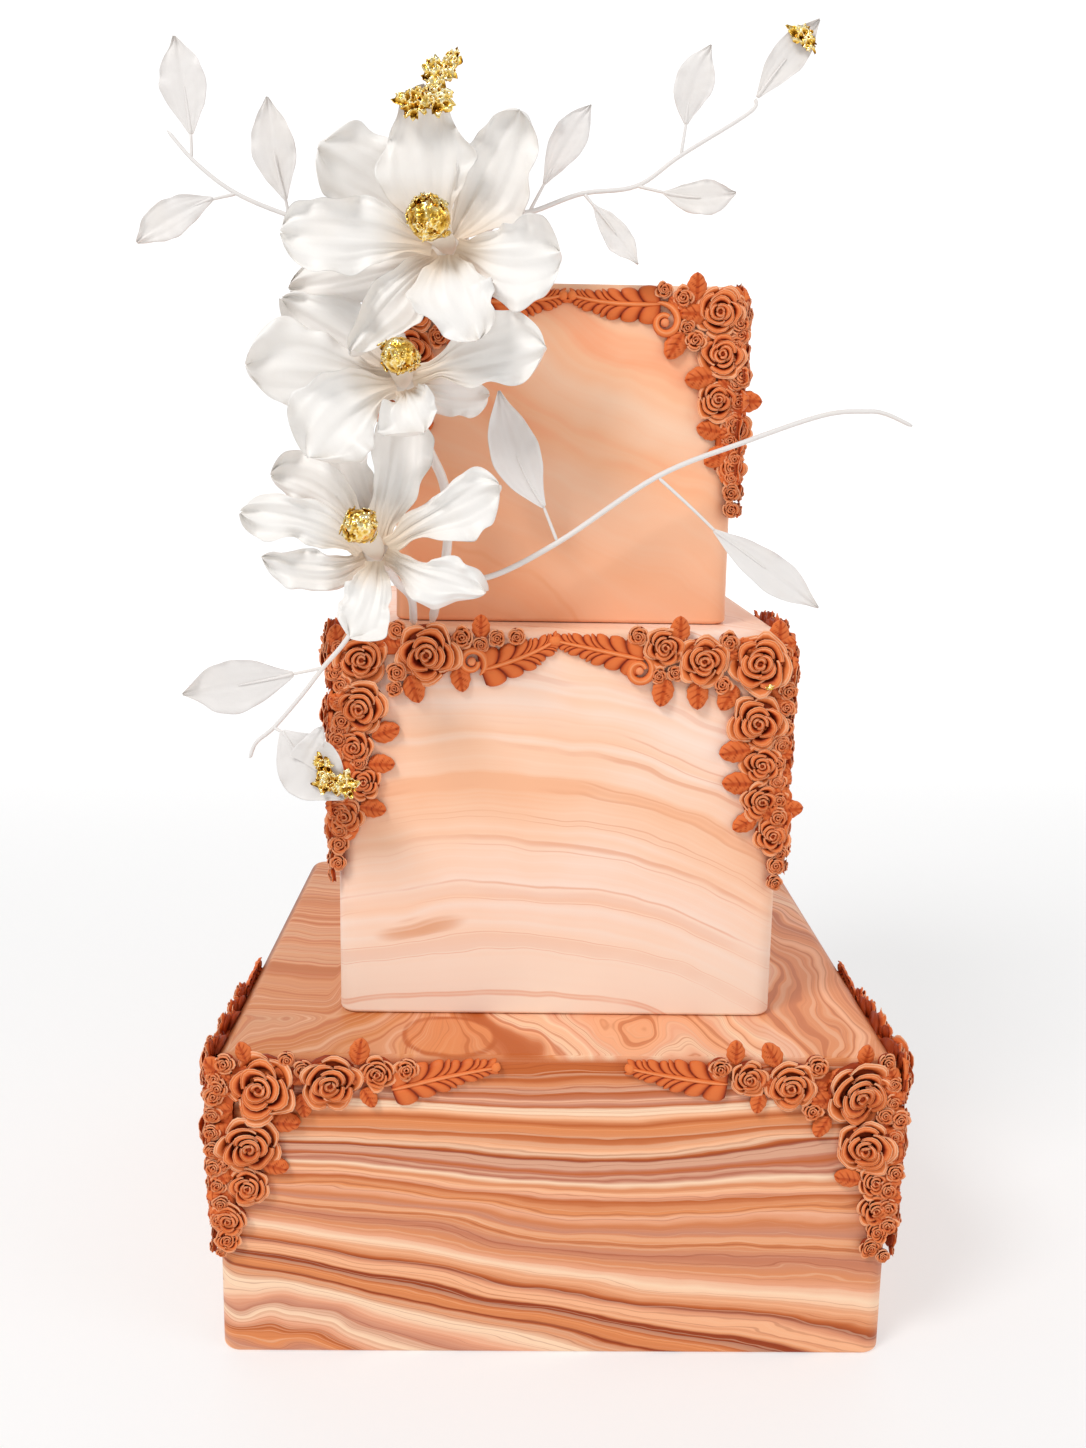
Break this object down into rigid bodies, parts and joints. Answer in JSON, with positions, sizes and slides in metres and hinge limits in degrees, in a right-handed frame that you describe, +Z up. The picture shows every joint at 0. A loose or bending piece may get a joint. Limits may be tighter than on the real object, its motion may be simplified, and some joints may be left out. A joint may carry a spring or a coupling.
{
  "type": "tiered wedding cake",
  "caption": "Square stacked cake in marbled fondant, with moulded rose garlands round its corners and a spray of white sugar magnolias with gilded centres up one side.",
  "frame": {"origin": "centre of the flat underside of the bottom tier", "axes": "+Z up through the tiers, -Y out of the front face, +X to the viewer's right"},
  "size_m": [0.3464, 0.3125, 0.5924],
  "materials": {
    "fondant_bottom": "satin fondant, marbled in terracotta, peach, cream and mauve",
    "fondant_middle": "satin fondant, pale peach faintly marbled with cream and orange",
    "fondant_top": "satin fondant, peach orange with faint streaks",
    "garland": "satin terracotta sugar paste",
    "sugar_paste": "matt white sugar paste",
    "gold_leaf": "crumpled edible gold leaf"
  },
  "bodies": {
    "root": {"branch_lower_left": "sugar_paste", "branch_middle_right": "sugar_paste", "branch_top_left": "sugar_paste", "branch_top_right": "sugar_paste", "garland_bottom_left": "garland", "garland_bottom_right": "garland", "garland_middle_left": "garland", "garland_middle_right": "garland", "garland_top_left": "garland", "garland_top_right": "garland", "leaf_lower_left_high": "sugar_paste", "leaf_lower_left_low": "sugar_paste", "leaf_middle_right_high": "sugar_paste", "leaf_middle_right_low": "sugar_paste", "leaf_top_left_high": "sugar_paste", "leaf_top_left_low": "sugar_paste", "leaf_top_left_middle": "sugar_paste", "leaf_top_right_end": "sugar_paste", "leaf_top_right_first": "sugar_paste", "leaf_top_right_fourth": "sugar_paste", "leaf_top_right_second": "sugar_paste", "leaf_top_right_third": "sugar_paste", "magnolia_lower_centre": "gold_leaf", "magnolia_lower_petal_bottom": "sugar_paste", "magnolia_lower_petal_left": "sugar_paste", "magnolia_lower_petal_lower_left": "sugar_paste", "magnolia_lower_petal_lower_right": "sugar_paste", "magnolia_lower_petal_right": "sugar_paste", "magnolia_lower_petal_top": "sugar_paste", "magnolia_lower_petal_upper": "sugar_paste", "magnolia_lower_petal_upper_left": "sugar_paste", "magnolia_middle_centre": "gold_leaf", "magnolia_middle_petal_front": "sugar_paste", "magnolia_middle_petal_left": "sugar_paste", "magnolia_middle_petal_lower_left": "sugar_paste", "magnolia_middle_petal_lower_right": "sugar_paste", "magnolia_middle_petal_right": "sugar_paste", "magnolia_middle_petal_upper": "sugar_paste", "magnolia_middle_petal_upper_left": "sugar_paste", "magnolia_upper_centre": "gold_leaf", "magnolia_upper_gold_flake": "gold_leaf", "magnolia_upper_petal_back_left": "sugar_paste", "magnolia_upper_petal_front": "sugar_paste", "magnolia_upper_petal_left": "sugar_paste", "magnolia_upper_petal_lower_left": "sugar_paste", "magnolia_upper_petal_right": "sugar_paste", "magnolia_upper_petal_top": "sugar_paste", "magnolia_upper_petal_upper_left": "sugar_paste", "magnolia_upper_petal_upper_right": "sugar_paste", "stem_lower": "sugar_paste", "stem_middle": "sugar_paste", "stem_upper": "sugar_paste", "tier_bottom": "fondant_bottom", "tier_middle": "fondant_middle", "tier_top": "fondant_top"}
  },
  "joints": []
}
